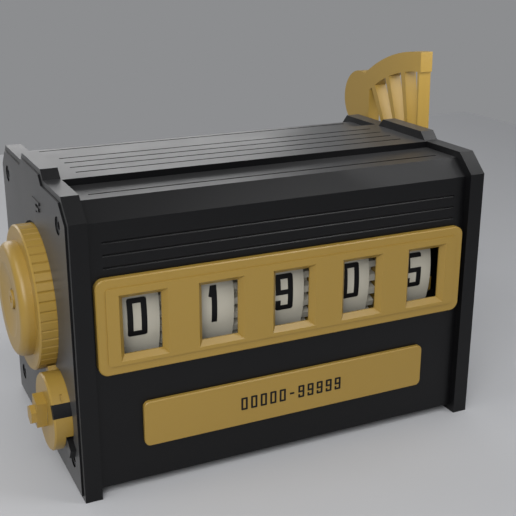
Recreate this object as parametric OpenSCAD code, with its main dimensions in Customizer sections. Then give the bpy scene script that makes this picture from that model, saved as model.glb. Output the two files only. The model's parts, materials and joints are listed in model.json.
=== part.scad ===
// Mechanical counter: five number wheels on one shaft in a flat-sided case.
// A thumb lever drives the units wheel through a ratchet, small pinions carry the tens,
// a selector draws the pinions out of mesh, and a large knob turns the wheels back to zero.
// X runs along the case, -Y faces the reader, Z is up. The origin is the middle of its footprint.

/* [Case] */
// Length over both end caps
case_l = 150; // [140:1:165]
// Depth of the end caps, front to back
case_d = 92.9; // [86:0.1:100]
// Height of the end caps beside the ridge
cap_h = 100.4; // [93:0.1:110]
// Height of the ridge above the rest of the cap
cap_ridge_h = 3; // [2:0.5:5]
// Thickness of one end cap
cap_t = 5.7; // [5:0.1:6.4]
// Depth of the corner bevel of a cap
cap_bevel_y = 7.5; // [5:0.5:9]
// Depth of the bevel at the back of a cap
cap_back_bevel_y = 6.5; // [5:0.5:9]
// Height of the corner bevel of a cap
cap_bevel_z = 6.8; // [5:0.2:9]
// Width of the ridge along the top of a cap
ridge_w = 32.2; // [28:0.1:34]
// How far the body lies inside the caps, front and back
body_inset = 2.7; // [2:0.1:4]
// How far the body lies below the caps
body_drop = 2.3; // [1.5:0.1:4]
// Width of the ridge along the top of the body
body_ridge_w = 36.4; // [34:0.2:40]
// Height of the underside of the body above the ground
foot_h = 2.6; // [2:0.1:5]
// Wall of the body shell
wall = 2.8; // [2.4:0.1:3.2]
// Thickness of the bottom plate
bottom_t = 2.6; // [2:0.1:4]

/* [Case trim] */
// Width of a groove in the case
groove_w = 0.9; // [0.6:0.1:1.4]
// Depth of a groove in the case
groove_depth = 0.5; // [0.3:0.1:0.8]
// Distance between the grooves on the ridge
ridge_groove_pitch = 7.2; // [6:0.2:7.6]
// Distance between the grooves on the front
front_groove_pitch = 4.1; // [3:0.1:4.6]
// Distance from the top of the caps to the top groove on the front
front_groove_down = 14.4; // [13:0.1:15.4]
// Distance from the cap outline to the cover plate
plate_margin = 1.7; // [1:0.1:3]
// Thickness of a cover plate
plate_t = 2.2; // [2:0.1:2.5]
// How far a cover plate stands proud of its cap
plate_proud = 0.7; // [0.4:0.1:0.9]
// Distance from the cap's front and back faces to the screws
screw_in_y = 10.3; // [9.6:0.1:11]
// Height of the lower screws
screw_low_z = 11.2; // [10.4:0.1:12.4]
// Distance from the top of the caps to the upper screws
screw_down = 9.6; // [9.6:0.1:12]
// Diameter of a cap screw's head
screw_head_d = 5.5; // [5:0.1:6]
// Diameter of a cap screw's shank
screw_d = 3; // [2.5:0.1:3.4]

/* [Bezel and nameplate] */
// Distance from the end of the case to the bezel
bezel_side = 7; // [6:0.1:8]
// Height of the window bezel
bezel_h = 32; // [29:0.1:34]
// Height of the middle of the bezel above the shaft
bezel_rise = 2.2; // [1.8:0.1:2.8]
// Thickness of the bezel
bezel_t = 3.9; // [3.4:0.1:4]
// How far the bezel's panel stands proud of its border
bezel_step = 0.4; // [0.2:0.1:0.6]
// How far the bezel stands proud of the body
bezel_proud = 2.5; // [1.8:0.1:2.6]
// Width of the bezel's border
bezel_border = 3.1; // [2:0.1:3.2]
// Corner radius of the bezel
bezel_r = 3.2; // [2:0.1:5]
// Width of a window at its throat
window_w = 12.8; // [11.5:0.1:13.4]
// Height of a window at its throat
window_h = 19; // [16:0.1:19.4]
// Height of the middle of the windows above the shaft
window_rise = 1.6; // [1:0.1:2]
// Width of the bevel around a window
window_bevel = 1.6; // [1:0.1:2]
// Depth of the bevel around a window
window_bevel_t = 1.9; // [1:0.1:2.4]
// Distance from the end of the case to the nameplate
nameplate_side = 21.25; // [18:0.25:26]
// Height of the nameplate
nameplate_h = 16; // [14:0.1:18]
// Height of the middle of the nameplate
nameplate_z = 22.8; // [20:0.1:24]
// How far the nameplate stands proud of the body
nameplate_t = 1.5; // [1:0.1:2.2]
// Height of the numbers on the nameplate
nameplate_number_h = 4.6; // [3:0.1:6]

/* [Number wheels] */
// Distance from the front of the caps to the wheels
wheel_front = 8.8; // [8.4:0.1:9.4]
// Least distance from the back of the caps to the wheels
wheel_behind = 13.1; // [12.6:0.1:15]
// Distance from the shell above the wheels down to them
wheel_above = 3.1; // [2.6:0.1:3.6]
// Least height of the wheels above the ground
wheel_below = 21.2; // [20.6:0.1:23]
// Width of the numbered band
band_w = 16; // [15:0.1:17]
// Thickness of the numbered band
band_t = 3.4; // [2.6:0.1:4]
// Thickness of a wheel's web
web_t = 2.8; // [2:0.1:4]
// Radius of a wheel's hub
hub_r = 7; // [6.4:0.1:8]
// Radius of the main shaft
shaft_r = 4; // [3.6:0.1:4.2]
// Running clearance of the wheels on the shaft, on the radius
shaft_play = 0.1; // [0.05:0.01:0.15]
// Number shown by the wheel at the left end
shown_1 = 0; // [0:1:9]
// Number shown by the second wheel
shown_2 = 1; // [0:1:9]
// Number shown by the third wheel
shown_3 = 9; // [0:1:9]
// Number shown by the fourth wheel
shown_4 = 0; // [0:1:9]
// Number shown by the units wheel
shown_5 = 5; // [0:1:9]
// Height of a number
number_h = 12.9; // [11:0.1:14]
// Width of a number
number_w = 6.6; // [5:0.1:7]
// How far the number that shows stands above the shaft
number_rise = 1; // [0:0.1:2]
// How far a number stands to the right of the middle of its band
number_shift = 0.4; // [0:0.1:0.8]
// Width of a number's upright strokes
stroke_x = 1.9; // [1.5:0.1:2.2]
// Width of a number's level strokes
stroke_y = 1.7; // [1.3:0.1:2]
// How far the numbers stand proud of the band
number_proud = 0.2; // [0.1:0.05:0.3]

/* [Tens carry] */
// Step from a wheel's band down to the tips of its gear
gear_step = 1.9; // [1.6:0.1:2.4]
// Width of a wheel's gear
gear_w = 4.2; // [3.6:0.1:4.4]
// Gap between a wheel's gear and the next wheel's carry disc
wheel_gap = 0.4; // [0.2:0.1:0.6]
// Radius of the pinion shaft
pinion_shaft_r = 2; // [1.8:0.1:2.2]
// Gap between a carry pinion and the wheel on its right
pinion_gap = 0.5; // [0.4:0.1:0.8]
// Clearance between the teeth when the pinions are drawn out
draw_gap = 1; // [0.6:0.1:1.2]
// Thickness of the left carriage plate
carriage_t = 3; // [2.4:0.1:3]
// Thickness of the right carriage plate
carriage_right_t = 1.9; // [1.5:0.1:1.9]
// Radius of the carriage tie rod
tie_rod_r = 2; // [1.6:0.1:2.2]
// Distance from the pinion shaft to the tie rod
tie_rod_away = 14.6; // [14.2:0.1:15]

/* [Reset knob] */
// Gap between the fluted ring and the selector
knob_gap = 1.7; // [1.2:0.1:3]
// Width of the fluted ring
knob_ring_w = 6.8; // [5:0.1:8]
// Step from the fluted ring in to the raised disc
knob_step = 5.3; // [3:0.1:7]
// Height of the raised disc
knob_disc_h = 4.6; // [3.4:0.1:6]
// Rounding of the disc's edge
knob_round = 2.6; // [1:0.1:3]
// Flat rim left round the dish in the face
knob_dish_rim = 6.7; // [5:0.1:8]
// Number of flutes
flute_count = 48; // [30:2:54]
// Width of a flute
flute_w = 0.8; // [0.5:0.1:1.2]

/* [Selector] */
// Radius of the selector
selector_r = 13; // [12:0.1:13.2]
// Thickness of the selector's disc
selector_w = 6.8; // [5:0.1:7.4]
// Height of the grip above the disc
grip_h = 3.4; // [2.6:0.1:5]
// Width of the grip
grip_w = 6.4; // [5:0.1:8]
// Width of the tab on the rim
tab_w = 3.7; // [2:0.1:5]
// Turn of the selector from drawn out to meshed
selector_turn = 60; // [50:1:64]

/* [Lever and drive] */
// Height of the lever's rim above the caps
lever_above = 30.4; // [26:0.1:34]
// Thickness of the lever
lever_t = 5.3; // [4:0.1:7]
// Width of the lever's rim band
lever_rim_w = 7.6; // [6:0.1:10]
// Radius of the thumb rest
thumb_r = 12; // [8:0.1:12.4]
// Distance from the middle of the thumb rest out to the rim
thumb_in = 6.4; // [4:0.1:9]
// Angle of one opening between the lever's ribs
slot_angle = 7.5; // [5:0.1:8]
// Angle from one opening to the next
slot_pitch = 10; // [9.5:0.1:10.2]
// Radius of the lever's hub
lever_hub_r = 11; // [9:0.1:14]
// Step from the wheels' bands down to the tips of the ratchet
ratchet_step = 7.5; // [7:0.1:8.5]
// Depth of a ratchet tooth
ratchet_depth = 4.5; // [3.5:0.1:5]
// Width of the ratchet
ratchet_w = 3.6; // [3:0.1:3.7]

/* [Hidden] */

// Colours
black = "#26262a";
gold = "#c8a24a";
ivory = "#d9d5c8";
ink = "#17171a";
steel = "#9a9da1";
bronze = "#a8794a";
spring_steel = "#71757a";

// Roundness of bores and shafts, of discs, of large rims and of small fillets
fn_bore = 48;
fn_disc = 96;
fn_rim = 160;
fn_small = 24;

// Gap that keeps a fixed piece from binding in its seat
seat_gap = 0.15;
// Gap that keeps a moving piece clear of what it passes
run_gap = 0.3;
// Gap between the layers beside the wheels
layer_gap = 0.4;
// How far a cutting shape runs past the face that it cuts
over = 1;
// Thickness of the thin slabs that span a bevelled shape
skin = 0.02;

// Places along the case. The wheels share what the plates and the pawl arm leave free
cap_in = cap_t;
right_in = case_l - cap_t;
case_mid = case_l / 2;
arm_t = 2;
side_room = ratchet_w + arm_t + carriage_right_t + 2.5 * layer_gap;
wheel_pitch = (case_l - 2 * cap_t - 2 * side_room - band_w) / 4;
band_half = band_w / 2;
gear_end = band_half + gear_w;
disc_start = wheel_pitch - gear_end - wheel_gap;
function wheel_x(i) = case_mid + (i - 3) * wheel_pitch;

// Case profile
body_front = body_inset;
body_back = case_d - body_inset;
body_top = cap_h - body_drop;
body_ridge_top = cap_h;
body_bevel_y = cap_bevel_y - 0.9;
body_bevel_z = cap_bevel_z - 1.2;
bevel_tilt = atan2(body_bevel_z, body_bevel_y);
inner_front = body_front + wall;
inner_back = body_back - wall;

// The wheels fill the depth or the height of the case, whichever is less
wheel_r = min((case_d - wheel_front - wheel_behind) / 2, (body_top - wall - wheel_above - wheel_below) / 2);
axis_y = wheel_front + wheel_r;
axis_z = body_top - wall - wheel_above - wheel_r;
axis = [axis_y, axis_z];
bezel_z = axis_z + bezel_rise;
window_z = axis_z + window_rise;
bezel_w = case_l - 2 * bezel_side;
nameplate_w = case_l - 2 * nameplate_side;
number_tilt = asin(number_rise / wheel_r);

// Ridge along the top
ridge_mid = axis_y + 0.8;
ridge_front = ridge_mid - ridge_w / 2;
ridge_back = ridge_mid + ridge_w / 2;
body_ridge_mid = ridge_mid + 0.6;
body_ridge_front = body_ridge_mid - body_ridge_w / 2;
body_ridge_back = body_ridge_mid + body_ridge_w / 2;

// Wheel gearing: teeth on a wheel, teeth on a pinion, and where they meet
gear_teeth = 40;
pinion_teeth = 12;
digit_turn = 36;
mesh_angle = -1.5 * digit_turn;
carry_module = (wheel_r - gear_step) / (gear_teeth / 2 + 1);
tooth_root = 1.25 * carry_module;
gear_pitch_r = carry_module * gear_teeth / 2;
pinion_pitch_r = carry_module * pinion_teeth / 2;
gear_tip_r = gear_pitch_r + carry_module;
gear_root_r = gear_pitch_r - tooth_root;
pinion_tip_r = pinion_pitch_r + carry_module;
pinion_root_r = pinion_pitch_r - tooth_root;
mesh_away = gear_pitch_r + pinion_pitch_r;
carriage_travel = carry_module + tooth_root + draw_gap;
drawn_away = mesh_away + carriage_travel;
carry_rim_gap = 0.18;
carry_rim_r = mesh_away - pinion_tip_r * cos(180 / pinion_teeth) - carry_rim_gap;
carry_relief = 16.5;
gear_tooth_w = 1.7 * carry_module;
gear_flank = 0.14;
pinion_tooth_w = 1.24 * carry_module;
pinion_flank_low = -0.1;
pinion_flank_high = 0.42;
pinion_start = band_half + 0.6;
pinion_w = wheel_pitch - band_half - pinion_start - pinion_gap;

// A point at a distance and an angle from the shaft; the angle is zero at the front and grows upwards
function polar(away, angle) = [axis_y - away * cos(angle), axis_z + away * sin(angle)];
drawn_at = polar(drawn_away, mesh_angle);
selector_away = mesh_away - 1.9;
selector_at = polar(selector_away, mesh_angle);
guide_away = mesh_away - 15.4;
guide_at = polar(guide_away, mesh_angle);
guide_r = 2;
function beside(p, away) = [p[0] + away * cos(90 + mesh_angle), p[1] - away * sin(90 + mesh_angle)];
tie_rod_at = beside(drawn_at, tie_rod_away);

// Cover plates let into the caps, with a round recess for each knob
plate_face = -plate_proud;
plate_floor = plate_t - plate_proud;
screw_high_z = cap_h - screw_down;
screw_places = [for (y = [screw_in_y, case_d - screw_in_y], z = [screw_low_z, screw_high_z]) [y, z]];
knob_back = 0.3;
recess_floor = knob_back + run_gap;
recess_gap = 0.8;

// Layers beside the wheels, left and right
cam_start = cap_in + run_gap;
cam_t = 2.7;
plate_left_x = cam_start + cam_t + layer_gap / 2;
bush_r = 6;
bush_end = wheel_x(1) - band_half - wheel_gap / 2;
ratchet_x = wheel_x(5) + band_half;
arm_x = ratchet_x + ratchet_w + layer_gap;
plate_right_x = arm_x + arm_t + layer_gap;
sleeve_r = 6;
right_bush_r = 8;

// Knob and selector
knob_r = selector_away - selector_r - knob_gap;
knob_disc_r = knob_r - knob_step;
knob_dish_r = knob_disc_r - knob_dish_rim;
knob_front = knob_back - knob_ring_w;
knob_face = knob_front - knob_disc_h;
dish_depth = 1.6;
knob_screw_r = 1.6;
knob_screw_head_r = 3.3;
knob_bore_end = knob_face + dish_depth + 2.4;
selector_front = knob_back - selector_w;
grip_front = selector_front - grip_h;
selector_screw_proud = 1.7;
tab_h = knob_gap - run_gap;
stem_r = 4;

// Lever
lever_x = case_l + 2.4;
lever_end = lever_x + lever_t;
lever_washer_t = 2.6;
lever_r = cap_h + lever_above - axis_z;
lever_front_angle = 91.3;
rib_front_angle = 92;
lever_slots = 3;
first_slot = 93.1;
slot_low_r = 24;
slot_high_r = lever_r - lever_rim_w;
thumb_away = lever_r - thumb_in;
thumb_tilt = 132.9;
thumb_cut_y = thumb_away * 0.56;
spring_pocket_r = 15;
spring_pocket_t = 2;

// Ratchet and pawl. The pawl is drawn lifted clear of the ratchet
ratchet_r = wheel_r - ratchet_step;
tooth_angle = -5;
pawl_away = ratchet_r + 5.5;
pawl_angle = -31;
pawl_at = polar(pawl_away, pawl_angle);
pawl_boss_r = 3;
pawl_pin_r = 1.25;
pawl_tip_away = ratchet_r + 0.5;
pawl_tip_angle = tooth_angle - 2.2;
spring_away = 3.6;

// The origin is the middle of the whole object's footprint
reach_left = grip_front - selector_screw_proud;
reach_right = lever_end + lever_washer_t;
reach_back = axis_y - thumb_away * cos(thumb_tilt) + thumb_r;
module place() translate([-(reach_left + reach_right) / 2, -reach_back / 2, 0]) children();

// Shapes drawn in depth and height, and carried along the case from x0 to x1
module along_x(x0, x1) translate([x0, 0, 0]) rotate([90, 0, 90]) linear_extrude(x1 - x0) children();
module rod_x(at, r, x0, x1, fn = fn_bore)
    translate([x0, at[0], at[1]]) rotate([0, 90, 0]) cylinder(r = r, h = x1 - x0, $fn = fn);
module at_axis() translate(axis) children();
// A flat shape drawn outwards along +X is turned to an angle round the shaft
module aim(angle) rotate(180 - angle) children();
module sector(r, a0, a1) {
    step = (a1 - a0) / 8;
    polygon([[0, 0], for (k = [0:8]) r / cos(step / 2) * [cos(180 - a0 - k * step), sin(180 - a0 - k * step)]]);
}
module rounded(w, h, r) {
    square([w - 2 * r, h], center = true);
    square([w, h - 2 * r], center = true);
    for (sx = [-1, 1], sy = [-1, 1]) translate([sx * (w / 2 - r), sy * (h / 2 - r)]) circle(r = r, $fn = fn_small);
}
module capsule(a, b, r) {
    d = b - a;
    for (p = [a, b]) translate(p) circle(r = r, $fn = fn_bore);
    translate(a) rotate(atan2(d[1], d[0])) translate([0, -r]) square([norm(d), 2 * r]);
}

// Outline of an end cap, drawn in by a margin
module cap_outline(m = 0) {
    front_tilt = atan2(cap_bevel_z, cap_bevel_y);
    back_tilt = atan2(cap_bevel_z, cap_back_bevel_y);
    front_low = cap_h - cap_bevel_z - m * tan((90 - front_tilt) / 2);
    back_low = cap_h - cap_bevel_z - m * tan((90 - back_tilt) / 2);
    n = m * tan(22.5);
    top = cap_h - m;
    ridge_top = top + cap_ridge_h;
    polygon([[m, m], [m, front_low], [cap_bevel_y + m * tan(front_tilt / 2), top], [ridge_front + n, top],
        [ridge_front + cap_ridge_h + n, ridge_top], [ridge_back - cap_ridge_h - n, ridge_top], [ridge_back - n, top],
        [case_d - cap_back_bevel_y - m * tan(back_tilt / 2), top], [case_d - m, back_low], [case_d - m, m]]);
}
// Outline of the body, drawn in by a margin and open or closed at the bottom
module body_outline(m = 0, low = foot_h) {
    side_top = body_top - body_bevel_z - m * tan((90 - bevel_tilt) / 2);
    in = body_bevel_y + m * tan(bevel_tilt / 2);
    polygon([[body_front + m, low], [body_front + m, side_top], [body_front + in, body_top - m],
        [body_ridge_front + m, body_top - m], [body_ridge_front + m, body_ridge_top - m],
        [body_ridge_back - m, body_ridge_top - m], [body_ridge_back - m, body_top - m],
        [body_back - in, body_top - m], [body_back - m, side_top], [body_back - m, low]]);
}

boss_r = 3.6;
boss_l = 11;
boss_in = 0.5;
pilot_r = screw_d / 2 - 0.25;
screw_hole_r = screw_d / 2 + seat_gap;
head_hole_r = screw_head_d / 2 + 0.2;
head_l = 1.2;
head_seat = 1.6;
shank_l = 12;
hex_r = 1.45;
hex_depth = 0.9;

module cap_body() difference() {
    along_x(0, cap_t) cap_outline();
    along_x(-over, plate_floor) cap_outline(plate_margin);
    for (p = screw_places) rod_x(p, screw_hole_r, -over, cap_t + over);
}
module left_end_cap() color(black) place() difference() {
    cap_body();
    rod_x(axis, bush_r, -over, cap_t + over);
    rod_x(selector_at, stem_r + shaft_play, -over, cap_t + over);
    rod_x(guide_at, guide_r, plate_floor + over, cap_t + over);
}
module right_end_cap() color(black) place() difference() {
    translate([case_l, 0, 0]) mirror([1, 0, 0]) cap_body();
    rod_x(axis, right_bush_r, right_in - over, case_l + over);
    rod_x(axis, spring_pocket_r, case_l - plate_floor - spring_pocket_t, case_l + over, fn_rim);
    rod_x(guide_at, guide_r, right_in - over, case_l - plate_floor - over);
}

// Case shell with its windows, screw bosses and grooves
bezel_front = body_front - bezel_proud;
bezel_back = bezel_front + bezel_t;
shell_window_w = window_w + 6;
shell_window_h = window_h + 3;
bottom_boss = 3.4;
bottom_boss_h = 7;
bottom_screw_x = [cap_in + boss_l + bottom_boss, right_in - boss_l - bottom_boss];
bottom_screw_y = [inner_front + bottom_boss, inner_back - bottom_boss];
low_groove_l = case_l - 2 * cap_t - 9.6;
ridge_groove_l = low_groove_l - 3.6;
module top_groove(y, z, l) translate([case_mid - l / 2, y - groove_w / 2, z - groove_depth])
    cube([l, groove_w, over]);
// V-shaped groove, so that its lower flank shows
module front_groove(z) along_x(case_mid - low_groove_l / 2, case_mid + low_groove_l / 2)
    translate([body_front, z]) rotate(45) square(groove_w / sqrt(2), center = true);
module bezel_seat(m, y0, y1) translate([case_mid, y0, bezel_z]) rotate([-90, 0, 0]) linear_extrude(y1 - y0)
    rounded(bezel_w + 2 * m, bezel_h + 2 * m, bezel_r + m);
module corner_bosses() intersection() {
    along_x(cap_in, right_in) body_outline(boss_in);
    for (p = screw_places, x = [cap_in, right_in - boss_l]) {
        y0 = p[0] < case_d / 2 ? body_front : p[0];
        y1 = p[0] < case_d / 2 ? p[0] : body_back;
        rod_x(p, boss_r, x, x + boss_l);
        translate([x, y0, p[1] - boss_r]) cube([boss_l, y1 - y0, 2 * boss_r]);
    }
}
module bottom_bosses() for (x = bottom_screw_x, y = bottom_screw_y) {
    y0 = y < case_d / 2 ? body_front + boss_in : y - bottom_boss;
    translate([x - bottom_boss, y0, foot_h + bottom_t + seat_gap])
        cube([2 * bottom_boss, 2 * bottom_boss + wall - boss_in, bottom_boss_h]);
}
module case_shell() color(black) place() difference() {
    union() {
        difference() {
            along_x(cap_in, right_in) body_outline();
            along_x(cap_in - over, right_in + over) body_outline(wall, foot_h - over);
        }
        corner_bosses();
        bottom_bosses();
    }
    bezel_seat(seat_gap, body_front - over, bezel_back);
    for (i = [1:5]) translate([wheel_x(i) - shell_window_w / 2, body_front - over, window_z - shell_window_h / 2])
        cube([shell_window_w, wall + 2 * over, shell_window_h]);
    for (p = screw_places) rod_x(p, pilot_r, cap_in - over, cap_in + boss_l - over);
    for (p = screw_places) rod_x(p, pilot_r, right_in - boss_l + over, right_in + over);
    for (x = bottom_screw_x, y = bottom_screw_y) translate([x, y, foot_h])
        cylinder(r = pilot_r, h = bottom_t + bottom_boss_h - over, $fn = fn_bore);
    for (k = [-1.5:1:1.5]) top_groove(ridge_mid + 1 + k * ridge_groove_pitch, body_ridge_top, ridge_groove_l);
    top_groove(body_front + 12.3, body_top, low_groove_l);
    top_groove(body_back - 9.4, body_top, low_groove_l);
    for (k = [0:2]) front_groove(cap_h - front_groove_down - k * front_groove_pitch);
}
module bottom_plate() color(black) place() difference() {
    translate([cap_in + seat_gap, inner_front + seat_gap, foot_h])
        cube([right_in - cap_in - 2 * seat_gap, inner_back - inner_front - 2 * seat_gap, bottom_t]);
    for (x = bottom_screw_x, y = bottom_screw_y) translate([x, y, foot_h - over]) {
        cylinder(r = screw_hole_r, h = bottom_t + 2 * over, $fn = fn_bore);
        cylinder(r = head_hole_r, h = over + head_l + 0.1, $fn = fn_bore);
    }
}
module bottom_screws() color(steel) place() for (x = bottom_screw_x, y = bottom_screw_y)
    translate([x, y, foot_h + 0.1]) difference() {
        union() {
            cylinder(r = screw_head_d / 2, h = head_l, $fn = fn_bore);
            cylinder(r = pilot_r, h = bottom_boss_h, $fn = fn_bore);
        }
        translate([0, 0, -over]) cylinder(r = hex_r, h = over + hex_depth, $fn = 6);
    }

module cover_body() difference() {
    along_x(plate_face, plate_floor) cap_outline(plate_margin + seat_gap);
    for (p = screw_places) {
        rod_x(p, head_hole_r, plate_face - over, plate_face + head_seat);
        rod_x(p, screw_hole_r, plate_face, plate_floor + over);
    }
}
// Raised bar and arrow above the reset knob
arrow_t = 0.5;
arrow_l = 6.4;
arrow_h = 2.8;
arrow_head = 2.8;
arrow_tail_h = 1.2;
arrow_y = axis_y - 11;
arrow_z = screw_high_z - 1.2;
bar_before = 0.9;
bar_up = 1.75;
bar_l = 9.8;
bar_h = 0.95;
module reset_arrow() along_x(plate_face - arrow_t, plate_face + arrow_t) translate([arrow_y, arrow_z]) {
    translate([0, -arrow_tail_h / 2]) square([arrow_l - arrow_head + skin, arrow_tail_h]);
    translate([arrow_l - arrow_head, 0]) polygon([[0, -arrow_h / 2], [arrow_head, 0], [0, arrow_h / 2]]);
    translate([-bar_before, bar_up]) square([bar_l, bar_h]);
}
module left_cover_plate() color(black) place() difference() {
    union() {
        cover_body();
        reset_arrow();
    }
    rod_x(axis, knob_r + recess_gap, plate_face - over, recess_floor, fn_rim);
    rod_x(selector_at, selector_r + recess_gap, plate_face - over, recess_floor, fn_rim);
    along_x(plate_face - over, recess_floor) translate(selector_at)
        sector(selector_r + tab_h + run_gap, tab_angle - tab_room, tab_angle + selector_turn + tab_room);
    rod_x(axis, bush_r + 0.5, plate_face - over, plate_floor + over);
    rod_x(selector_at, stem_r + 0.3, plate_face - over, plate_floor + over);
}
module right_cover_plate() color(black) place() difference() {
    translate([case_l, 0, 0]) mirror([1, 0, 0]) cover_body();
    rod_x(axis, sleeve_r + 0.3, case_l - plate_floor - over, case_l + plate_proud + over);
}
// The head clamps the cover plate to its cap
module cap_screw() difference() {
    union() {
        rod_x([0, 0], screw_head_d / 2, -head_l, 0);
        rod_x([0, 0], pilot_r, -head_l / 2, shank_l);
    }
    rod_x([0, 0], hex_r, -head_l - over, hex_depth - head_l, 6);
}
module left_cap_screws() color(steel) place()
    for (p = screw_places) translate([plate_face + head_seat, p[0], p[1]]) cap_screw();
module right_cap_screws() color(steel) place()
    for (p = screw_places) translate([case_l - plate_face - head_seat, p[0], p[1]]) mirror([1, 0, 0]) cap_screw();

// Bezel: a border with a raised panel, and five bevelled windows
bezel_edge = 0.3;
window_relief = 1.2;
module bezel_slab(y, t, w, h, r) translate([case_mid, y, bezel_z]) rotate([-90, 0, 0])
    linear_extrude(t) rounded(w, h, r);
module window_cut(w, h, y, t) translate([-w / 2, y, -h / 2]) cube([w, t, h]);
module window_bezel() color(gold) place() difference() {
    border_y = bezel_front + bezel_step;
    union() {
        bezel_slab(bezel_front, bezel_step + bezel_edge, bezel_w - 2 * bezel_border, bezel_h - 2 * bezel_border,
            bezel_r / 3);
        hull() {
            bezel_slab(border_y, skin, bezel_w - 2 * bezel_edge, bezel_h - 2 * bezel_edge, bezel_r - bezel_edge);
            bezel_slab(border_y + bezel_edge, skin, bezel_w, bezel_h, bezel_r);
        }
        bezel_seat(0, border_y + bezel_edge, bezel_back);
    }
    for (i = [1:5]) translate([wheel_x(i), bezel_front, window_z]) {
        window_cut(window_w, window_h, -over, bezel_t + 2 * over);
        window_cut(window_w + 2 * window_relief, window_h + 2 * window_relief, window_bevel_t + 0.5, bezel_t);
        hull() {
            window_cut(window_w + 2 * window_bevel, window_h + 2 * window_bevel, -skin, skin);
            window_cut(window_w, window_h, window_bevel_t, skin);
        }
    }
}
module nameplate() color(gold) place() translate([case_mid, body_front - nameplate_t, nameplate_z])
    rotate([-90, 0, 0]) hull() {
        linear_extrude(skin) rounded(nameplate_w - 2 * bezel_edge, nameplate_h - 2 * bezel_edge, 1.7);
        translate([0, 0, bezel_edge]) linear_extrude(nameplate_t - bezel_edge) rounded(nameplate_w, nameplate_h, 2);
    }

// Numbers, drawn as strokes in a box from the lower left corner
number_round = 0.8;
number_hook = 3.6;
module bar(x, y, w, h) translate([x, y]) square([w, h]);
module ring_stroke(x, y, w, h) difference() {
    translate([x + w / 2, y + h / 2]) rounded(w, h, number_round);
    bar(x + stroke_x, y + stroke_y, w - 2 * stroke_x, h - 2 * stroke_y);
}
module number_one() {
    left = number_w / 2 - stroke_x / 2 + number_shift;
    bar(left, 0, stroke_x, number_h);
    polygon([[left + skin, number_h], [left + skin, number_h - number_hook - 0.4],
        [left - 1.1, number_h - number_hook], [left - 0.3, number_h]]);
}
module number(d) {
    w = number_w;
    h = number_h;
    a = stroke_x;
    b = stroke_y;
    ring_h = (h + b) / 2;
    middle = (h - b) / 2;
    if (d == 0) ring_stroke(0, 0, w, h);
    if (d == 1) number_one();
    if (d == 2 || d == 3 || d == 5 || d == 6 || d == 9) intersection() {
        translate([w / 2, h / 2]) rounded(w, h, number_round);
        union() {
            for (y = [0, middle, h - b]) bar(0, y, w, b);
            if (d != 5 && d != 6) bar(w - a, middle, a, ring_h);
            if (d != 2) bar(w - a, 0, a, ring_h);
            if (d == 2 || d == 6) bar(0, 0, a, ring_h);
            if (d == 5 || d == 6 || d == 9) bar(0, middle, a, ring_h);
            if (d == 2 || d == 3) bar(0, h - number_hook, a, number_hook);
            if (d == 3 || d == 5 || d == 9) bar(0, 0, a, number_hook);
            if (d == 6) bar(w - a, h - number_hook, a, number_hook);
        }
    }
    if (d == 4) {
        bar(0, middle, a, ring_h);
        bar(0, middle, w, b);
        bar(w - a, 0, a, h);
    }
    if (d == 7) {
        bar(0, h - b, w, b);
        bar(w - a, 0, a, h);
    }
    if (d == 8) {
        ring_stroke(0, 0, w, ring_h);
        ring_stroke(0, h - ring_h, w, ring_h);
    }
}
// The counting range, as plain numbers with a dash between them
nameplate_gap = 3.6;
module nameplate_numbers() color(ink) place() {
    s = nameplate_number_h / number_h;
    step = (number_w + nameplate_gap) * s;
    range = [0, 0, 0, 0, 0, -1, 9, 9, 9, 9, 9];
    start = case_mid - (len(range) * step - nameplate_gap * s) / 2;
    translate([start, body_front - nameplate_t, nameplate_z - nameplate_number_h / 2])
        for (i = [0:len(range) - 1]) translate([i * step, 0, 0]) rotate([90, 0, 0]) linear_extrude(number_proud / 2)
            scale([s, s]) {
                if (range[i] < 0) bar(stroke_x / 2, (number_h - stroke_y) / 2, number_w - stroke_x, stroke_y);
                else number(range[i]);
            }
}

bush_flange = 1.4;
module left_bush() color(bronze) place() difference() {
    union() {
        rod_x(axis, bush_r, recess_floor, bush_end);
        rod_x(axis, bush_r + bush_flange, cap_in, cam_start + cam_t);
    }
    rod_x(axis, shaft_r + shaft_play, recess_floor - over, bush_end + over);
}
module right_bush() color(bronze) place() difference() {
    rod_x(axis, right_bush_r, right_in, case_l - plate_floor - spring_pocket_t);
    rod_x(axis, sleeve_r + shaft_play, right_in - over, case_l);
}
module main_shaft() color(steel) place() difference() {
    rod_x(axis, shaft_r, knob_bore_end, case_l);
    rod_x(axis, knob_screw_r, knob_bore_end - over, knob_bore_end + 10);
}
knob_edge = 0.5;
dish_r = (knob_dish_r * knob_dish_r + dish_depth * dish_depth) / (2 * dish_depth);
// Half profile of the knob: radius to the right, height above the cap upwards
module knob_profile() difference() {
    union() {
        translate([0, -knob_back]) polygon([[0, 0], [knob_r - knob_edge, 0], [knob_r, knob_edge],
            [knob_r, knob_ring_w - knob_edge], [knob_r - knob_edge, knob_ring_w], [0, knob_ring_w]]);
        translate([0, -knob_front]) square([knob_disc_r, knob_disc_h - knob_round]);
        translate([0, -knob_front]) square([knob_disc_r - knob_round, knob_disc_h]);
        translate([knob_disc_r - knob_round, -knob_face - knob_round]) circle(r = knob_round, $fn = fn_bore);
    }
    intersection() {
        translate([0, dish_r - dish_depth - knob_face]) circle(r = dish_r, $fn = 4 * fn_rim);
        translate([0, -knob_face - dish_depth]) square([knob_dish_r + over, dish_depth + over]);
    }
    translate([0, -knob_back - over]) square([shaft_r, knob_back - knob_bore_end + over]);
    translate([0, -knob_bore_end - over]) square([knob_screw_r + 0.2, 10]);
    translate([0, -knob_face - dish_depth - 0.6]) square([knob_screw_head_r + 0.3, 10]);
}
flute_edge = 0.6;
flute_side = flute_w / sqrt(2);
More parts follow.
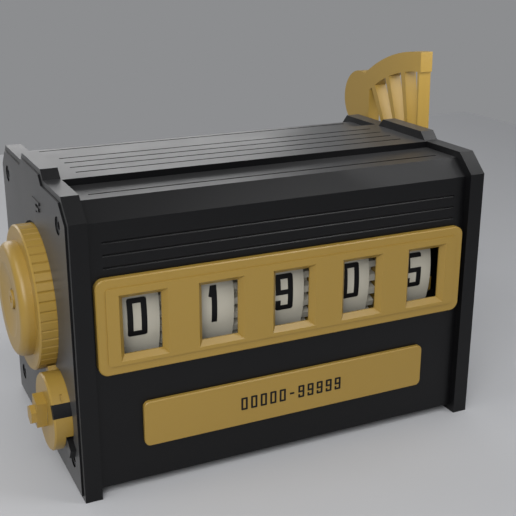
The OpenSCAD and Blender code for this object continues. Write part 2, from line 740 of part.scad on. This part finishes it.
module reset_knob() color(gold) place() translate([0, axis_y, axis_z]) rotate([0, -90, 0]) difference() {
    rotate_extrude($fn = fn_rim) knob_profile();
    for (k = [0:flute_count - 1]) rotate(k * 360 / flute_count)
        translate([knob_r, 0, knob_ring_w / 2 - knob_back]) rotate(45)
            cube([flute_side, flute_side, knob_ring_w - 2 * flute_edge], center = true);
}
module reset_knob_screw() color(steel) place() difference() {
    head = knob_face + dish_depth - 0.8;
    union() {
        rod_x(axis, knob_screw_head_r, head, head + 1.3);
        rod_x(axis, knob_screw_r, head + 1, knob_bore_end + 9);
    }
    rod_x(axis, hex_r, head - over, head + hex_depth, 6);
}

// Teeth with straight flanks: a ring of them round a root circle
module teeth(angles, root_r, pitch_r, tip_r, tooth_w, low_slope, high_slope) {
    root_half = tooth_w / 2 + low_slope * (pitch_r - root_r);
    tip_half = tooth_w / 2 - high_slope * (tip_r - pitch_r);
    for (a = angles) rotate(a) polygon([[root_r - over, -root_half], [root_r, -root_half],
        [pitch_r, -tooth_w / 2], [tip_r, -tip_half], [tip_r, tip_half], [pitch_r, tooth_w / 2],
        [root_r, root_half], [root_r - over, root_half]]);
}
module gear_teeth_at(angles)
    teeth(angles, gear_root_r, gear_pitch_r, gear_tip_r, gear_tooth_w, gear_flank, gear_flank);

// Number wheels: a cup with the band outside, and the gear beside it on all but the units wheel
band_in_r = wheel_r - band_t;
gear_hollow_r = band_in_r - 5;
gear_web_t = 1;
lightening_r = (band_in_r - hub_r) / 2 - 6.5;
module number_wheel(i) {
    x = wheel_x(i);
    last = i == 5;
    difference() {
        union() {
            rod_x(axis, wheel_r, x - band_half, x + band_half, fn_rim);
            if (!last) along_x(x + band_half - skin, x + gear_end) at_axis() {
                circle(r = gear_root_r, $fn = fn_rim);
                aim(mesh_angle) gear_teeth_at([for (k = [0:gear_teeth - 1]) k * 360 / gear_teeth]);
            }
        }
        rod_x(axis, band_in_r, x - band_half + web_t, x + band_half + (last ? over : -gear_web_t), fn_rim);
        if (!last) rod_x(axis, gear_hollow_r, x, x + gear_end + over, fn_rim);
        for (k = [0:4]) rod_x(polar((hub_r + band_in_r) / 2, k * 72), lightening_r, x - band_half - over, x);
    }
}
module wheel_node(i) color(ivory) place() difference() {
    union() {
        number_wheel(i);
        rod_x(axis, hub_r, wheel_x(i) - band_half, wheel_x(i) + (i == 5 ? band_half : gear_end));
    }
    rod_x(axis, shaft_r + shaft_play, wheel_x(i) - band_half - over, wheel_x(i) + gear_end + over);
}
module numbers(i, shown) color(ink) place() intersection() {
    difference() {
        rod_x(axis, wheel_r + number_proud, wheel_x(i) - band_half, wheel_x(i) + band_half, fn_rim);
        rod_x(axis, wheel_r, wheel_x(i) - band_half - over, wheel_x(i) + band_half + over, fn_rim);
    }
    for (d = [0:9]) translate([wheel_x(i) + number_shift, axis_y, axis_z])
        rotate([(d - shown) * digit_turn - number_tilt, 0, 0])
            translate([-number_w / 2, -0.9 * wheel_r, -number_h / 2]) rotate([90, 0, 0])
                linear_extrude(0.2 * wheel_r) number(d);
}

// The carry disc locks the pinion with its rim and turns it with three teeth
module carry_disc(i, shown) color(gold) place() difference() {
    carry_angle = (shown - 1) * digit_turn;
    along_x(wheel_x(i) - disc_start, wheel_x(i) - band_half) at_axis() {
        difference() {
            circle(r = carry_rim_r, $fn = fn_rim);
            sector(carry_rim_r + over, carry_angle - carry_relief, carry_angle + carry_relief);
        }
        circle(r = gear_root_r - 0.1, $fn = fn_rim);
        aim(carry_angle) gear_teeth_at([-9, 0, 9]);
    }
    rod_x(axis, shaft_r + shaft_play, 0, case_l);
    for (k = [0:4]) rod_x(polar(gear_root_r * 0.6, (k + 0.5) * 72), 4, 0, case_l);
}
ratchet_steps = 5;
module ratchet_wheel() color(ivory) place() difference() {
    along_x(ratchet_x, ratchet_x + ratchet_w) at_axis() polygon([for (k = [0:9], s = [0:ratchet_steps])
        let (a = 180 - tooth_angle - (k + s / ratchet_steps) * digit_turn + (s == ratchet_steps ? 0.01 : 0))
        (ratchet_r - ratchet_depth * s / ratchet_steps) * [cos(a), sin(a)]]);
    rod_x(axis, shaft_r + shaft_play, 0, case_l);
}

module carry_pinion(i) color(gold) place() difference() {
    along_x(wheel_x(i) + pinion_start, wheel_x(i) + pinion_start + pinion_w) translate(drawn_at) {
        circle(r = pinion_root_r, $fn = fn_bore);
        aim(mesh_angle) rotate(180 / pinion_teeth) teeth([for (k = [0:pinion_teeth - 1]) k * 360 / pinion_teeth],
            pinion_root_r, pinion_pitch_r, pinion_tip_r, pinion_tooth_w, pinion_flank_low, pinion_flank_high);
    }
    rod_x(drawn_at, pinion_shaft_r + 0.08, 0, case_l);
}
spacer_gap = 0.25;
spacer_r = pinion_shaft_r + 1.4;
module pinion_shaft() color(steel) place()
    rod_x(drawn_at, pinion_shaft_r, cam_start + 1.1, plate_right_x + carriage_right_t);
module pinion_spacers() color(steel) place() difference() {
    for (i = [0:4]) {
        x0 = i == 0 ? plate_left_x + carriage_t + 0.1 : wheel_x(i) + pinion_start + pinion_w + spacer_gap;
        x1 = i == 4 ? plate_right_x - 0.1 : wheel_x(i + 1) + pinion_start - spacer_gap;
        rod_x(drawn_at, spacer_r, x0, x1);
    }
    rod_x(drawn_at, pinion_shaft_r, 0, case_l);
}
// Carriage plate: its slots ride on the shaft's bush and on a guide pin
slot_r = bush_r + 0.3;
slot_rim = 2.6;
module carriage_plate(x, t) difference() {
    along_x(x, x + t) difference() {
        union() {
            capsule(polar(-4, mesh_angle), drawn_at, 5);
            capsule(polar(-carriage_travel, mesh_angle), polar(carriage_travel + 2, mesh_angle), slot_r + slot_rim);
            capsule(drawn_at, tie_rod_at, 2 * tie_rod_r);
        }
        capsule(axis, polar(carriage_travel, mesh_angle), slot_r);
        capsule(guide_at, polar(guide_away + carriage_travel, mesh_angle), guide_r + 0.3);
    }
    rod_x(drawn_at, pinion_shaft_r, x - over, x + t + over);
    rod_x(tie_rod_at, tie_rod_r, x - over, x + t + over);
}
module left_carriage_plate() color(steel) place() carriage_plate(plate_left_x, carriage_t);
module right_carriage_plate() color(steel) place() carriage_plate(plate_right_x, carriage_right_t);
module carriage_tie_rod() color(steel) place()
    rod_x(tie_rod_at, tie_rod_r, plate_left_x, plate_right_x + carriage_right_t);
module guide_pins() color(steel) place() {
    rod_x(guide_at, guide_r, plate_floor + over, plate_left_x + carriage_t);
    rod_x(guide_at, guide_r, plate_right_x, case_l - plate_floor - over);
}

// Cam groove: the pinion shaft's end runs in a spiral that draws in evenly as the selector turns
cam_r = 11;
cam_steps = 4;
cam_floor = 1;
groove_half = pinion_shaft_r + 0.35;
stem_end = cam_start + 0.6;
function cam_away(t) = drawn_away - selector_away - carriage_travel * t;
function cam_point(t) = let (a = 180 - mesh_angle + t * selector_turn) cam_away(t) * [cos(a), sin(a)];
module selector_cam() color(steel) place() difference() {
    rod_x(selector_at, cam_r, cam_start, cam_start + cam_t, fn_disc);
    rod_x(selector_at, stem_r + 0.05, cam_start - over, stem_end);
    along_x(cam_start + cam_floor, cam_start + cam_t + over) translate(selector_at)
        for (k = [0:cam_steps - 1]) hull() {
            translate(cam_point(k / cam_steps)) circle(r = groove_half, $fn = fn_small);
            translate(cam_point((k + 1) / cam_steps)) circle(r = groove_half, $fn = fn_small);
        }
}
selector_screw_r = 1.2;
module selector_stem() color(steel) place() difference() {
    rod_x(selector_at, stem_r, selector_front, stem_end);
    rod_x(selector_at, selector_screw_r, selector_front - over, stem_end - 3);
}

// Selector: a disc with a tab and an index block on its rim, and a grip across its face
tab_angle = 122;
tab_room = 12;
tab_front = knob_back - 3.6;
grip_angle = 78;
grip_out_r = 5.9;
grip_in_r = -3.5;
notch_angle = 24;
notch_in = 2.2;
notch_w = 4.6;
mark_angle = 41.5;
stop_angle = -33;
stop_w = 4.4;
stop_in_r = selector_r - 2.6;
stop_out_r = selector_r + 4.4;
stop_l = 2.9;
stop_half = asin(stop_w / 2 / stop_in_r) + 2;
selector_head_r = 3.4;
module selector_block(angle, r0, r1, w, x0, x1) translate([0, selector_at[0], selector_at[1]]) rotate([-angle, 0, 0])
    translate([x0, -r1, -w / 2]) cube([x1 - x0, r1 - r0, w]);
module selector_knob() color(gold) place() difference() {
    union() {
        translate([0, selector_at[0], selector_at[1]]) rotate([0, -90, 0]) rotate_extrude($fn = fn_rim)
            translate([0, -knob_back]) polygon([[0, 0], [selector_r - 0.3, 0], [selector_r, 0.3],
                [selector_r, selector_w - 0.5], [selector_r - 0.5, selector_w], [0, selector_w]]);
        selector_block(tab_angle, selector_r - over, selector_r + tab_h, tab_w, tab_front, knob_back);
        selector_block(grip_angle, grip_in_r, grip_out_r, grip_w, grip_front, selector_front + boss_in);
    }
    rod_x(selector_at, stem_r, selector_front, knob_back + over);
    rod_x(selector_at, selector_screw_r + 0.3, grip_front - over, knob_back + over);
    selector_block(notch_angle, selector_r - notch_in, selector_r + 2, notch_w, selector_front - over,
        knob_back + over);
    // room for the stop on the cover plate over the whole turn
    along_x(knob_back - stop_l - run_gap, knob_back + over) translate(selector_at) difference() {
        sector(selector_r + 4, stop_angle - selector_turn - stop_half, stop_angle + stop_half);
        circle(r = stop_in_r - run_gap, $fn = fn_disc);
    }
    selector_block(mark_angle, selector_r - 0.5, selector_r + 1, 2.7, -selector_w / 2, 0.8 - selector_w / 2);
}
module selector_index() color(ink) place() intersection() {
    selector_block(notch_angle, selector_r - notch_in, selector_r + 2, notch_w, selector_front, knob_back);
    rod_x(selector_at, selector_r, selector_front - over, knob_back + over, fn_rim);
}
module selector_screw() color(steel) place() {
    rod_x(selector_at, selector_head_r, grip_front - selector_screw_proud, grip_front, 6);
    rod_x(selector_at, selector_screw_r, grip_front - boss_in, stem_end - 4);
}
// The stop stands on the floor of the selector's recess and overlaps its rim
module selector_stop() color(black) place() difference() {
    union() {
        selector_block(stop_angle, stop_in_r, stop_out_r, stop_w, knob_back - stop_l, plate_face);
        selector_block(stop_angle, stop_in_r, selector_r + recess_gap / 2, stop_w, knob_back - stop_l, recess_floor);
    }
    rod_x(selector_at, stop_in_r, knob_back - stop_l - over, recess_floor + over, fn_disc);
}

// Lever: a rim and ribs fanned round the shaft, with a thumb rest at the back
module thumb_disc(r) translate(thumb_away * [-cos(thumb_tilt), sin(thumb_tilt)]) circle(r = r, $fn = fn_disc);
module lever_slot(a0, a1) difference() {
    intersection() {
        sector(lever_r, a0, a1);
        circle(r = slot_high_r, $fn = fn_rim);
    }
    circle(r = slot_low_r, $fn = fn_disc);
}
module lever_outline() difference() {
    union() {
        intersection() {
            circle(r = lever_r, $fn = fn_rim);
            sector(lever_r + 5, lever_front_angle, thumb_tilt);
        }
        thumb_disc(thumb_r);
        circle(r = lever_hub_r, $fn = fn_disc);
    }
    // the front rib steps back below the rim
    difference() {
        intersection() {
            sector(lever_r, lever_front_angle - 3, rib_front_angle);
            circle(r = slot_high_r, $fn = fn_rim);
        }
        circle(r = lever_hub_r + over, $fn = fn_disc);
    }
    for (k = [0:lever_slots - 1])
        lever_slot(first_slot + k * slot_pitch, first_slot + k * slot_pitch + slot_angle);
    // the last opening ends in a straight edge through the thumb rest
    intersection() {
        lever_slot(first_slot + lever_slots * slot_pitch, thumb_tilt);
        square([thumb_cut_y, lever_r]);
    }
}
module lever() color(gold) place() difference() {
    union() {
        along_x(lever_x, lever_end) at_axis() lever_outline();
        rod_x(axis, lever_hub_r, case_l + plate_proud + run_gap, lever_x + boss_in, fn_disc);
    }
    rod_x(axis, sleeve_r, case_l - over, lever_end + over);
}
lever_screw_r = 2.5;
module lever_sleeve() color(steel) place() difference() {
    rod_x(axis, sleeve_r, arm_x, lever_end);
    rod_x(axis, shaft_r + shaft_play, arm_x - over, case_l + 0.6);
    rod_x(axis, lever_screw_r, case_l, lever_end + over);
}
module lever_screw() color(steel) place() difference() {
    union() {
        rod_x(axis, sleeve_r + 2, lever_end, lever_end + lever_washer_t);
        rod_x(axis, lever_screw_r, case_l + 1.4, lever_end + over);
    }
    rod_x(axis, 2, lever_end + over, lever_end + lever_washer_t + over, 6);
}
// Flat spiral spring in the pocket between the right cap and its cover plate
spiral_turns = 3;
spiral_t = 0.6;
spiral_step = 15;
spiral_end = 360 * spiral_turns;
spiral_in = sleeve_r + spiral_t / 2 + 0.05;
spiral_out = spring_pocket_r - spiral_t / 2 - 0.05;
function spiral(a, side) =
    (spiral_in + (spiral_out - spiral_in) * a / spiral_end + side * spiral_t / 2) * [cos(a), sin(a)];
module lever_return_spring() color(spring_steel) place()
    along_x(case_l - plate_floor - spring_pocket_t + layer_gap / 2, case_l - plate_floor - layer_gap / 2) at_axis()
        polygon(concat([for (a = [0:spiral_step:spiral_end]) spiral(a, 1)],
            [for (a = [spiral_end:-spiral_step:0]) spiral(a, -1)]));

pawl_side = 0.1;
pawl_x0 = ratchet_x + pawl_side;
pawl_x1 = ratchet_x + ratchet_w - pawl_side;
arm_half = 3.2;
module pawl_arm() color(steel) place() difference() {
    along_x(arm_x, arm_x + arm_t) {
        at_axis() circle(r = sleeve_r + 3, $fn = fn_disc);
        capsule(axis, pawl_at, arm_half);
        translate(pawl_at) circle(r = spring_away + 1.4, $fn = fn_bore);
    }
    rod_x(axis, sleeve_r, arm_x - over, arm_x + arm_t + over);
    rod_x(pawl_at, pawl_pin_r, arm_x - over, arm_x + arm_t + over);
}
module drive_pawl() color(gold) place() difference() {
    union() {
        rod_x(pawl_at, pawl_boss_r, pawl_x0, pawl_x1);
        along_x(pawl_x0, pawl_x1) polygon([polar(pawl_away + 2.4, pawl_angle + 1),
            polar(pawl_tip_away + 3.4, pawl_tip_angle - 1), polar(pawl_tip_away, pawl_tip_angle),
            polar(pawl_tip_away, pawl_tip_angle - 3.5), polar(pawl_away - 2.2, pawl_angle + 2)]);
    }
    rod_x(pawl_at, pawl_pin_r + 0.06, pawl_x0 - over, pawl_x1 + over);
}
module pawl_pin() color(steel) place() rod_x(pawl_at, pawl_pin_r, pawl_x0, arm_x + arm_t);
leaf_t = 0.6;
module pawl_spring() color(spring_steel) place() along_x(ratchet_x + 0.8, arm_x) translate(pawl_at)
    translate([-spring_away - leaf_t, -2]) square([leaf_t, 10]);

// Leaf springs on a rail at the back hold each wheel at its numbers
rail_z = axis_z - 8;
rail_h = 9;
rail_t = 3;
rail_y = inner_back - rail_t;
leaf_w = 2.8;
module detent_rail() color(steel) place()
    translate([cap_in + run_gap, rail_y, rail_z - rail_h / 2])
        cube([right_in - cap_in - 2 * run_gap, rail_t, rail_h]);
module detent_springs() color(spring_steel) place() for (i = [1:5]) {
    x = i == 5 ? ratchet_x + layer_gap : wheel_x(i) + band_half + 2 * layer_gap;
    tip = axis_y + (i == 5 ? ratchet_r + 0.2 : gear_tip_r + 0.15);
    along_x(x, x + leaf_w) polygon([[rail_y, rail_z - 3], [rail_y, rail_z + 4], [rail_y - 0.5, rail_z + 4],
        [tip + 0.5, axis_z + leaf_t], [tip, axis_z], [tip + 0.5, axis_z - leaf_t], [rail_y - leaf_t, rail_z - 3]]);
}

left_end_cap();
right_end_cap();
case_shell();
bottom_plate();
left_cover_plate();
right_cover_plate();
window_bezel();
nameplate();
nameplate_numbers();
left_cap_screws();
right_cap_screws();
bottom_screws();
left_bush();
right_bush();
main_shaft();
reset_knob();
reset_knob_screw();
wheel_node(1);  // number_wheel_1
wheel_node(2);  // number_wheel_2
wheel_node(3);  // number_wheel_3
wheel_node(4);  // number_wheel_4
wheel_node(5);  // number_wheel_5
numbers(1, shown_1);  // numbers_1
numbers(2, shown_2);  // numbers_2
numbers(3, shown_3);  // numbers_3
numbers(4, shown_4);  // numbers_4
numbers(5, shown_5);  // numbers_5
carry_disc(2, shown_2);  // carry_disc_2
carry_disc(3, shown_3);  // carry_disc_3
carry_disc(4, shown_4);  // carry_disc_4
carry_disc(5, shown_5);  // carry_disc_5
ratchet_wheel();
carry_pinion(1);  // carry_pinion_1
carry_pinion(2);  // carry_pinion_2
carry_pinion(3);  // carry_pinion_3
carry_pinion(4);  // carry_pinion_4
pinion_shaft();
pinion_spacers();
left_carriage_plate();
right_carriage_plate();
carriage_tie_rod();
guide_pins();
selector_cam();
selector_stem();
selector_knob();
selector_index();
selector_screw();
selector_stop();
lever();
lever_sleeve();
lever_screw();
lever_return_spring();
pawl_arm();
drive_pawl();
pawl_pin();
pawl_spring();
detent_rail();
detent_springs();
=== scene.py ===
import json
import math

import bpy
from mathutils import Color, Euler, Matrix, Vector

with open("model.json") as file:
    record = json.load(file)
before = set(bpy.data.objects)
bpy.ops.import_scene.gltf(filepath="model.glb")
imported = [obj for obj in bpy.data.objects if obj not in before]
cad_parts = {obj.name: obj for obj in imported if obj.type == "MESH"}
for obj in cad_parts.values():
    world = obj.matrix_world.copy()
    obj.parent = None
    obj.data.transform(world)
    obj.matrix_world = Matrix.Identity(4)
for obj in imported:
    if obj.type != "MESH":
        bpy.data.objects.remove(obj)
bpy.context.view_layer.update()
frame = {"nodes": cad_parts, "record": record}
MM = 0.001

# Materials
# Patches make gloss and tone uneven, and grain makes the surface a little rough; scales are per metre
PATCH_SCALE = 45
PATCH_DETAIL = 3
GLOSS_BELOW = 0.04
GLOSS_ABOVE = 0.05
GRAIN_SCALE = 900
STEEL_GRAIN_SCALE = 500
GRAIN_DETAIL = 2
GRAIN_DEPTH = 0.06 * MM
SHEEN_ROUGHNESS = 0.3


def noise(tree, coords, scale, detail):
    """The output of a noise texture in the piece's own coordinates."""
    texture = tree.nodes.new("ShaderNodeTexNoise")
    texture.inputs["Scale"].default_value = scale
    texture.inputs["Detail"].default_value = detail
    tree.links.new(coords, texture.inputs["Vector"])
    return texture.outputs["Fac"]


def shade(color, factor):
    """A colour made darker or lighter, with its alpha."""
    return (*[min(1, c * factor) for c in color], 1)


def material(name, color, rough, metal=0.0, specular=0.5, grain=0.0, grain_scale=GRAIN_SCALE, tone=0.0,
             sheen=0.0):
    """A plastic or metal with uneven gloss and, where asked, a fine grain, an uneven tone and a sheen."""
    m = bpy.data.materials.new(name)
    m.use_nodes = True
    m.diffuse_color = (*color, 1)
    tree = m.node_tree
    new, link = tree.nodes.new, tree.links.new
    tree.nodes.clear()
    out = new("ShaderNodeOutputMaterial")
    shader = new("ShaderNodeBsdfPrincipled")
    link(shader.outputs["BSDF"], out.inputs["Surface"])
    shader.inputs["Base Color"].default_value = (*color, 1)
    shader.inputs["Roughness"].default_value = rough
    shader.inputs["Metallic"].default_value = metal
    shader.inputs["Specular IOR Level"].default_value = specular
    shader.inputs["Sheen Weight"].default_value = sheen
    shader.inputs["Sheen Roughness"].default_value = SHEEN_ROUGHNESS

    coords = new("ShaderNodeTexCoord").outputs["Object"]
    patches = noise(tree, coords, PATCH_SCALE, PATCH_DETAIL)
    gloss = new("ShaderNodeMapRange")
    gloss.inputs["To Min"].default_value = rough - GLOSS_BELOW
    gloss.inputs["To Max"].default_value = rough + GLOSS_ABOVE
    link(patches, gloss.inputs["Value"])
    link(gloss.outputs["Result"], shader.inputs["Roughness"])
    if tone:
        tones = new("ShaderNodeMix")
        tones.data_type = "RGBA"
        tones.inputs["A"].default_value = shade(color, 1 - tone)
        tones.inputs["B"].default_value = shade(color, 1 + tone)
        link(patches, tones.inputs["Factor"])
        link(tones.outputs["Result"], shader.inputs["Base Color"])
    if grain:
        bump = new("ShaderNodeBump")
        bump.inputs["Strength"].default_value = grain
        bump.inputs["Distance"].default_value = GRAIN_DEPTH
        link(noise(tree, coords, grain_scale, GRAIN_DETAIL), bump.inputs["Height"])
        link(bump.outputs["Normal"], shader.inputs["Normal"])
    return m


BLACK = material("black_plastic", (0.0013, 0.0013, 0.0018), rough=0.38, specular=0.32, grain=0.12, tone=0.1,
                 sheen=0.18)
GOLD = material("gold_plastic", (0.345, 0.218, 0.0415), rough=0.36, grain=0.1, tone=0.03)
IVORY = material("ivory_plastic", (0.63, 0.6, 0.505), rough=0.45, specular=0.3, grain=0.08, tone=0.03)
INK = material("black_print", (0.004, 0.004, 0.005), rough=0.5, specular=0.25, grain=0.05)
STEEL = material("steel", (0.42, 0.43, 0.44), rough=0.32, metal=1.0, grain=0.1, grain_scale=STEEL_GRAIN_SCALE)
BLACK_STEEL = material("blackened_steel", (0.03, 0.03, 0.032), rough=0.35, metal=0.6, grain=0.1)
BRONZE = material("bronze", (0.42, 0.24, 0.11), rough=0.34, metal=1.0, grain=0.1)
SPRING = material("spring_steel", (0.2, 0.2, 0.21), rough=0.3, metal=1.0, grain=0.05)
FLOOR = material("floor", (0.505, 0.51, 0.525), rough=0.6, specular=0.3, tone=0.01)

# The material of each of the record's material slots, and of the pieces that differ from their slot
FINISH = {
    "black_plastic": BLACK,
    "gold_plastic": GOLD,
    "ivory_plastic": IVORY,
    "black_print": INK,
    "steel": STEEL,
    "bronze": BRONZE,
    "spring_steel": SPRING,
}
OWN_FINISH = {
    "left_cap_screws": BLACK_STEEL,
    "right_cap_screws": BLACK_STEEL,
    "bottom_screws": BLACK_STEEL,
    "lever_screw": BLACK_STEEL,
    "reset_knob_screw": GOLD,
    "selector_screw": GOLD,
}
SLOT = {s["node"]: s["material_slot"] for s in frame["record"]["subparts"]}

# Edges rounded in the picture: width in millimetres, and the least turn that counts as an edge
ROUND = {
    "case_shell": 0.3,
    "bottom_plate": 0.2,
    "left_end_cap": 0.25,
    "right_end_cap": 0.25,
    "left_cover_plate": 0.2,
    "right_cover_plate": 0.2,
    "window_bezel": 0.35,
    "nameplate": 0.25,
    "reset_knob": 0.1,
    "selector_knob": 0.25,
    "selector_index": 0.15,
    "selector_stop": 0.3,
    "lever": 0.3,
    "lever_screw": 0.3,
}
ROUND_SEGMENTS = 2
EDGE_TURN = math.radians(32)


def dress(piece, name):
    """Give a piece its material and, where its edges show, a small rounding."""
    piece.data.materials.clear()
    piece.data.materials.append(OWN_FINISH.get(name) or FINISH[SLOT[name]])
    if name in ROUND:
        bevel = piece.modifiers.new("round", "BEVEL")
        bevel.width = ROUND[name] * MM
        bevel.segments = ROUND_SEGMENTS
        bevel.limit_method = "ANGLE"
        bevel.angle_limit = EDGE_TURN
        bevel.harden_normals = False


for name, piece in frame["nodes"].items():
    dress(piece, name)

# Floor
FLOOR_HALF = 0.472


def in_scene(name, data):
    """A new object of the scene that holds a mesh, light or camera."""
    o = bpy.data.objects.new(name, data)
    bpy.context.scene.collection.objects.link(o)
    return o


def square(name, half, mat):
    """A flat square on the ground, with its middle at the origin."""
    mesh = bpy.data.meshes.new(name)
    corners = [(-half, -half, 0), (half, -half, 0), (half, half, 0), (-half, half, 0)]
    mesh.from_pydata(corners, [], [(0, 1, 2, 3)])
    mesh.materials.append(mat)
    return in_scene(name, mesh)


floor = square("floor", FLOOR_HALF, FLOOR)

# Studio: pale walls all round, as display colour from 0 to 255
WALLS = (140, 141, 143)
world = bpy.data.worlds.new("studio")
bpy.context.scene.world = world
world.use_nodes = True
background = world.node_tree.nodes["Background"]
background.inputs["Color"].default_value = (*Color([c / 255 for c in WALLS]).from_srgb_to_scene_linear(), 1)
background.inputs["Strength"].default_value = 1.0


def area(name, at, target, size, power):
    """A rectangular light aimed at a point, in metres and watts."""
    light = bpy.data.lights.new(name, "AREA")
    light.shape = "RECTANGLE"
    light.size, light.size_y = size
    light.energy = power
    o = in_scene(name, light)
    o.location = at
    o.rotation_euler = (Vector(target) - Vector(at)).to_track_quat("-Z", "Y").to_euler()


# Main light from the left and the front, with a weaker one below it for the front of the case
area("key", at=(-0.35, -0.5, 0.5), target=(0, 0, 0.03), size=(0.4, 0.4), power=2.7)
area("front_fill", at=(-0.3, -0.62, 0.3), target=(0, 0, 0.05), size=(0.3, 0.3), power=0.7)
# Top and left end
area("high_left", at=(-0.35, -0.05, 0.5), target=(-0.07, -0.02, 0.05), size=(0.25, 0.25), power=0.6)
# A wide, far light, whose reflection brightens the top of the case
area("back", at=(-0.15, 1.9, 0.5), target=(0, 0, 0.1), size=(2.4, 0.6), power=11.5)
# Light lines on the lower lips of the grooves and windows
area("high_right", at=(0.25, -0.25, 0.58), target=(0.02, -0.05, 0.05), size=(0.15, 0.15), power=0.72)
# Close over the case's top, so that they reach the lever and not the front of the case
area("lever_fill", at=(0.045, -0.045, 0.135), target=(0.08, 0.02, 0.115), size=(0.08, 0.05), power=0.02)
area("lever_right", at=(0.125, -0.03, 0.15), target=(0.085, 0.03, 0.11), size=(0.05, 0.05), power=0.025)

# Camera, at the photo's viewing angle: degrees, pixels of the photo, and metres from the foot of the
# left end cap's front corner
AZIMUTH = -25.5062
ELEVATION = 18.9278
ROLL = 0.1494
PHOTO_SIDE = 516
FOCAL_PIXELS = 953.6858
SENSOR_MM = 36
FROM_CORNER = Vector((-0.0642579, -0.2628985, 0.1747248))
NEAR, FAR = 0.01, 10

cap = frame["nodes"]["left_end_cap"]
cap_corners = [cap.matrix_world @ Vector(c) for c in cap.bound_box]
corner = Vector((min(c.x for c in cap_corners), min(c.y for c in cap_corners), 0))
# A camera that isn't turned looks straight down
aim = Euler((math.radians(90 - ELEVATION), 0, math.radians(AZIMUTH))).to_matrix()
turn = aim @ Matrix.Rotation(math.radians(ROLL), 3, "Z")

optics = bpy.data.cameras.new("camera")
optics.sensor_width = SENSOR_MM
optics.lens = FOCAL_PIXELS / PHOTO_SIDE * SENSOR_MM
optics.clip_start, optics.clip_end = NEAR, FAR
camera = in_scene("camera", optics)
camera.matrix_world = Matrix.Translation(corner + FROM_CORNER) @ turn.to_4x4()
bpy.context.scene.camera = camera
bpy.context.scene.view_settings.view_transform = "Standard"
